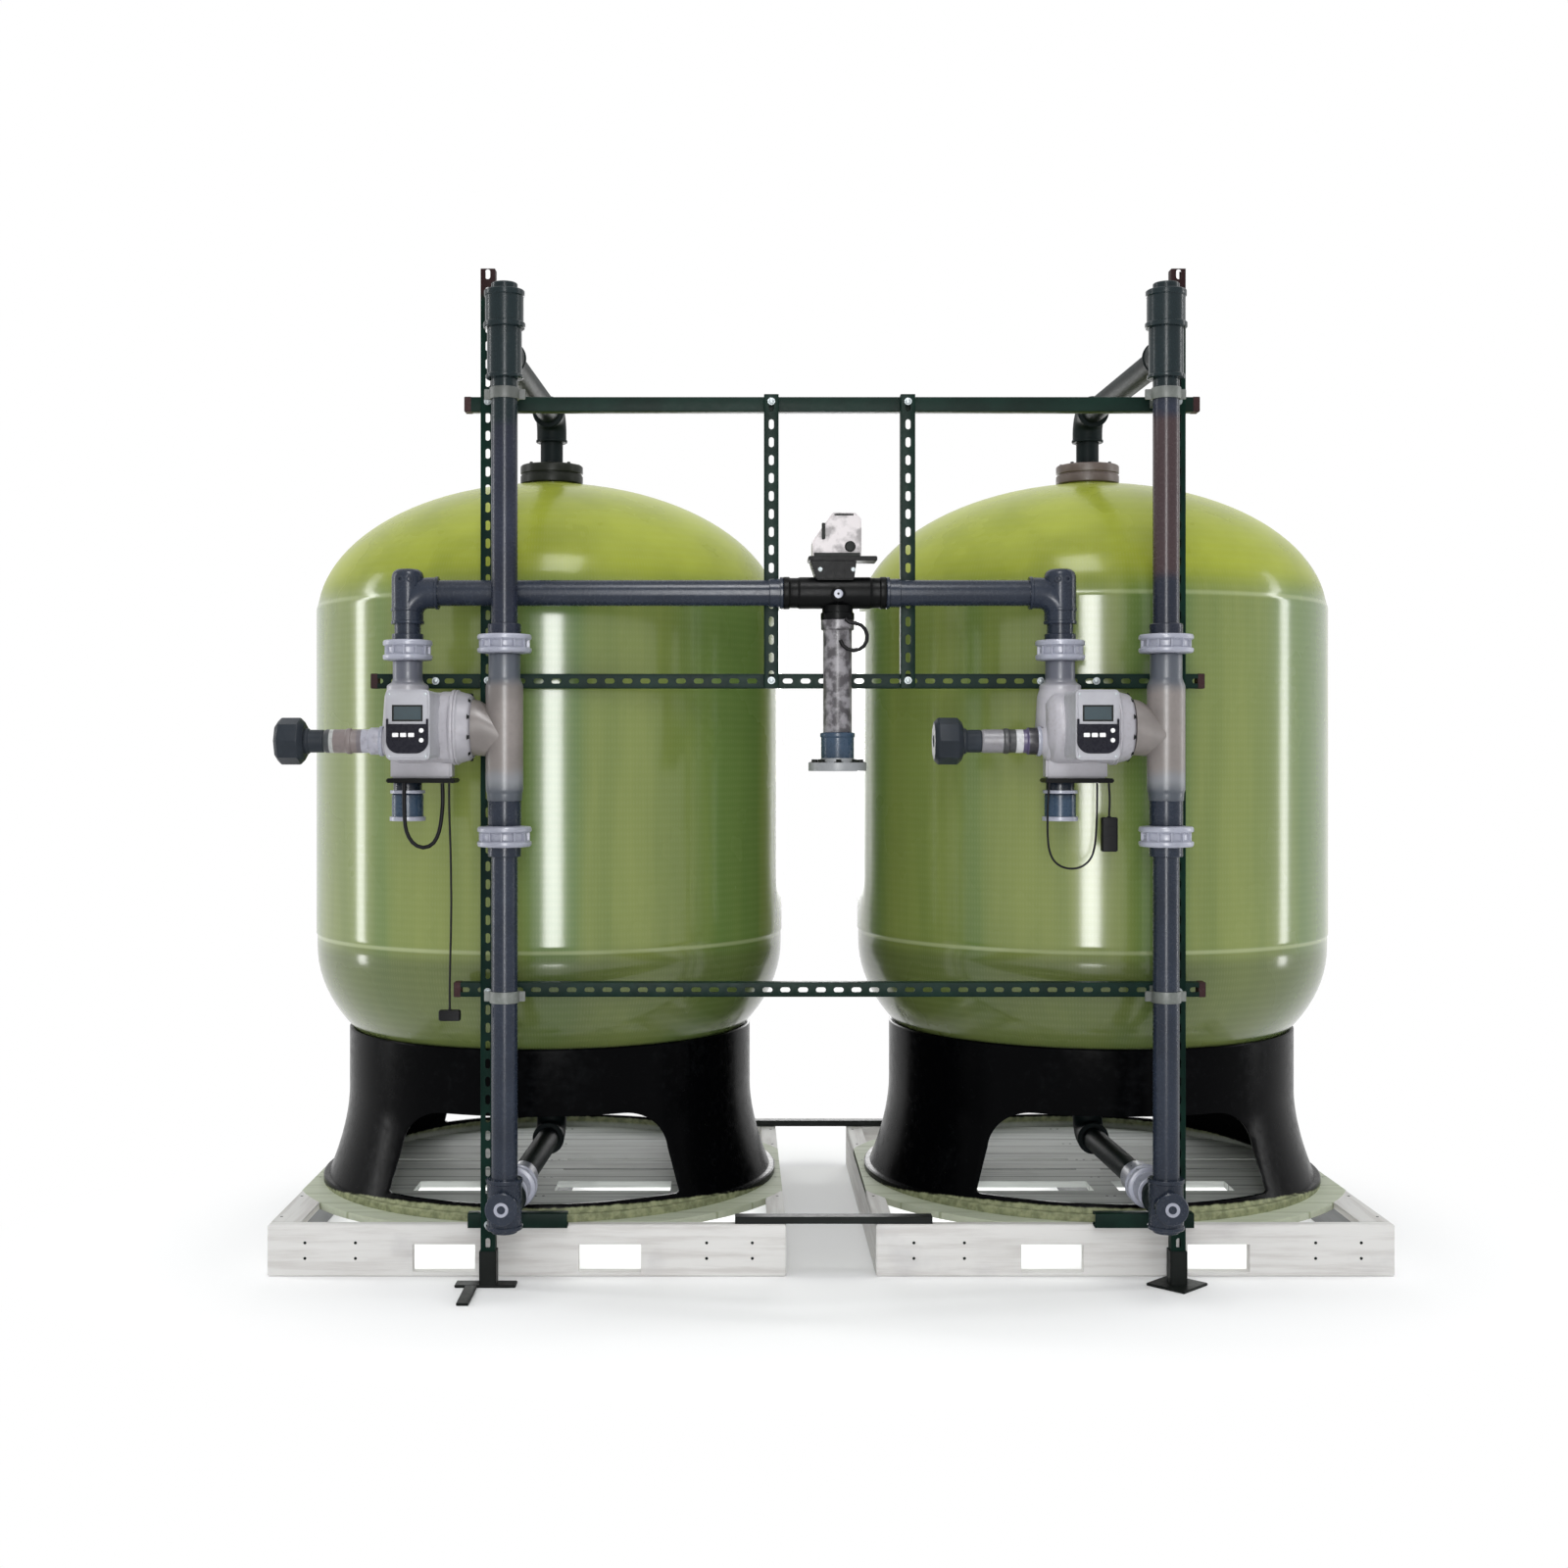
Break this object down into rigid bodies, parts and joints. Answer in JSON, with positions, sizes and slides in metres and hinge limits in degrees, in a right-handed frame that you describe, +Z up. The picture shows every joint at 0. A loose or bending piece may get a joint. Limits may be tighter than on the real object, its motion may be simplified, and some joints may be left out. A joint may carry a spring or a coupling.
{
  "type": "industrial water softener",
  "caption": "Twin vessel water softener on pallets: domed pressure vessels on moulded skirts, side valves with control heads, a changeover valve and a slotted channel frame.",
  "frame": {"origin": "middle of the outline at floor level, without the free cords", "axes": "+X to the right along the row of vessels, +Y away from the control heads, +Z up"},
  "size_m": [3.27, 1.958, 2.885],
  "materials": {
    "shell": "wound glass fibre in resin, olive, glossy",
    "resin": "ion exchange resin beads",
    "skirt": "black moulded plastic, glossy",
    "timber": "pale painted timber",
    "strut": "dark green painted strut channel",
    "black_steel": "black painted steel",
    "pipe": "dark slate plastic pipe and fittings",
    "grey_pipe": "mid grey plastic pipe",
    "dark_fitting": "near black green plastic",
    "black_plastic": "black plastic",
    "valve": "beige grey moulded valve",
    "head": "light grey housing",
    "hood": "pale grey cover",
    "key": "white keys",
    "piston": "pale plastic, smooth",
    "cable": "black rubber cable"
  },
  "bodies": {
    "base": {"tank_shell_left": "shell", "media_bed_left": "resin", "skirt_left": "skirt", "pallet_left": "timber", "top_adapter_left": "dark_fitting", "upper_spool_left": "pipe", "lower_spool_left": "pipe", "side_manifold_left": "valve", "valve_body_left": "valve", "drain_nut_left": "dark_fitting", "control_head_left": "head", "header_left": "pipe", "upright_left": "strut", "hanger_left": "strut", "foot_bracket_left": "strut", "post_base_left": "black_steel", "cable_loop_left": "cable", "lead_left": "cable", "plug_left": "cable", "tank_shell_right": "shell", "media_bed_right": "resin", "skirt_right": "skirt", "pallet_right": "timber", "top_adapter_right": "dark_fitting", "upper_spool_right": "pipe", "lower_spool_right": "pipe", "side_manifold_right": "valve", "valve_body_right": "valve", "drain_nut_right": "dark_fitting", "control_head_right": "head", "header_right": "pipe", "upright_right": "strut", "hanger_right": "strut", "foot_bracket_right": "strut", "post_base_right": "black_steel", "cable_loop_right": "cable", "lead_right": "cable", "plug_right": "cable", "changeover_body": "black_plastic", "changeover_actuator": "hood", "outlet_pipe": "grey_pipe", "top_rail": "strut", "middle_rail": "strut", "lower_rail": "strut", "tie_bar_front": "strut", "tie_bar_rear": "strut", "cable_ring": "cable"},
    "valve_piston_left": {"valve_piston_left": "piston"},
    "key_left_1": {"key_left_1": "key"},
    "key_left_2": {"key_left_2": "key"},
    "key_left_3": {"key_left_3": "key"},
    "round_key_left_1": {"round_key_left_1": "key"},
    "round_key_left_2": {"round_key_left_2": "key"},
    "valve_piston_right": {"valve_piston_right": "piston"},
    "key_right_1": {"key_right_1": "key"},
    "key_right_2": {"key_right_2": "key"},
    "key_right_3": {"key_right_3": "key"},
    "round_key_right_1": {"round_key_right_1": "key"},
    "round_key_right_2": {"round_key_right_2": "key"},
    "changeover_spool": {"changeover_spool": "piston"}
  },
  "joints": [
    {"name": "valve_piston_left_slide", "type": "slide", "parent": "base", "child": "valve_piston_left", "axis": [1, 0, 0], "range_m": [0, 0.04]},
    {"name": "key_left_1_press", "type": "slide", "parent": "base", "child": "key_left_1", "axis": [0, 1, 0], "range_m": [0, 0.002], "stiffness_N_per_m": 400},
    {"name": "key_left_2_press", "type": "slide", "parent": "base", "child": "key_left_2", "axis": [0, 1, 0], "range_m": [0, 0.002], "stiffness_N_per_m": 400},
    {"name": "key_left_3_press", "type": "slide", "parent": "base", "child": "key_left_3", "axis": [0, 1, 0], "range_m": [0, 0.002], "stiffness_N_per_m": 400},
    {"name": "round_key_left_1_press", "type": "slide", "parent": "base", "child": "round_key_left_1", "axis": [0, 1, 0], "range_m": [0, 0.002], "stiffness_N_per_m": 400},
    {"name": "round_key_left_2_press", "type": "slide", "parent": "base", "child": "round_key_left_2", "axis": [0, 1, 0], "range_m": [0, 0.002], "stiffness_N_per_m": 400},
    {"name": "valve_piston_right_slide", "type": "slide", "parent": "base", "child": "valve_piston_right", "axis": [1, 0, 0], "range_m": [0, 0.04]},
    {"name": "key_right_1_press", "type": "slide", "parent": "base", "child": "key_right_1", "axis": [0, 1, 0], "range_m": [0, 0.002], "stiffness_N_per_m": 400},
    {"name": "key_right_2_press", "type": "slide", "parent": "base", "child": "key_right_2", "axis": [0, 1, 0], "range_m": [0, 0.002], "stiffness_N_per_m": 400},
    {"name": "key_right_3_press", "type": "slide", "parent": "base", "child": "key_right_3", "axis": [0, 1, 0], "range_m": [0, 0.002], "stiffness_N_per_m": 400},
    {"name": "round_key_right_1_press", "type": "slide", "parent": "base", "child": "round_key_right_1", "axis": [0, 1, 0], "range_m": [0, 0.002], "stiffness_N_per_m": 400},
    {"name": "round_key_right_2_press", "type": "slide", "parent": "base", "child": "round_key_right_2", "axis": [0, 1, 0], "range_m": [0, 0.002], "stiffness_N_per_m": 400},
    {"name": "changeover_spool_slide", "type": "slide", "parent": "base", "child": "changeover_spool", "axis": [1, 0, 0], "range_m": [0, 0.03]}
  ]
}
